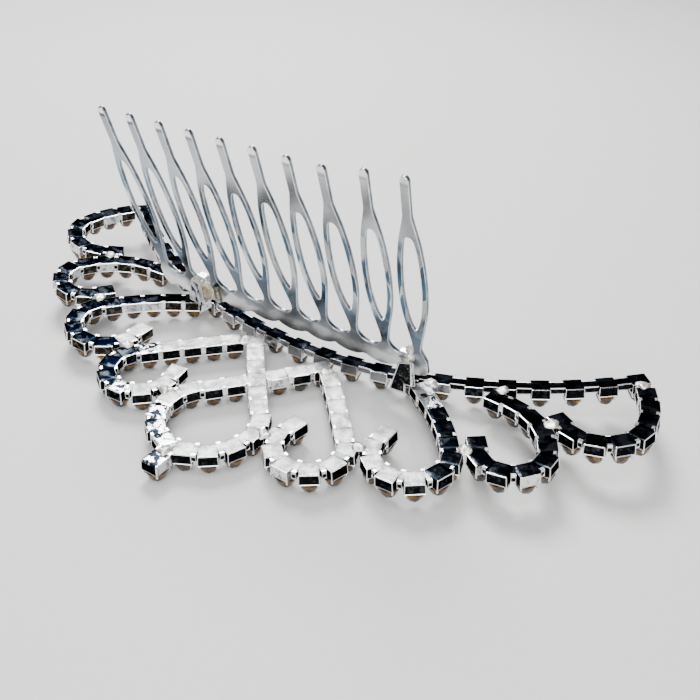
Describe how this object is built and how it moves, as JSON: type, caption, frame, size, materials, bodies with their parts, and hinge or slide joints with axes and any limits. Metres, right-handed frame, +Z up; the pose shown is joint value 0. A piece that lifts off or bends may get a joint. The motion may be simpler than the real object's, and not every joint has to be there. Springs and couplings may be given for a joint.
{
  "type": "hair crown",
  "caption": "Bridal crown of square stone-set cup chain bent into hooked loops over a curved base chain, with a stamped hair comb soldered behind it.",
  "frame": {"origin": "under the middle of the crown's outline, on the surface that it lies on face down", "axes": "+X across the crown, to the picture's right; -Y towards the tip of the crown; +Z up, away from the stones' tables, the way the comb stands"},
  "size_m": [0.1146, 0.0562, 0.0416],
  "materials": {
    "plating": "bright silver plating",
    "steel": "bright, tumbled",
    "solder": "satin",
    "glass": "polished, cut"
  },
  "bodies": {
    "root": {"base_chain": "plating", "centre_loop": "plating", "loop_1_right": "plating", "loop_1_left": "plating", "loop_2_right": "plating", "loop_2_left": "plating", "loop_3_right": "plating", "loop_3_left": "plating", "loop_4_right": "plating", "loop_4_left": "plating", "base_stones": "glass", "centre_stones": "glass", "loop_1_right_stones": "glass", "loop_1_left_stones": "glass", "loop_2_right_stones": "glass", "loop_2_left_stones": "glass", "loop_3_right_stones": "glass", "loop_3_left_stones": "glass", "loop_4_right_stones": "glass", "loop_4_left_stones": "glass", "comb": "steel", "clip_right": "plating", "clip_left": "plating", "solder": "solder"}
  },
  "joints": []
}
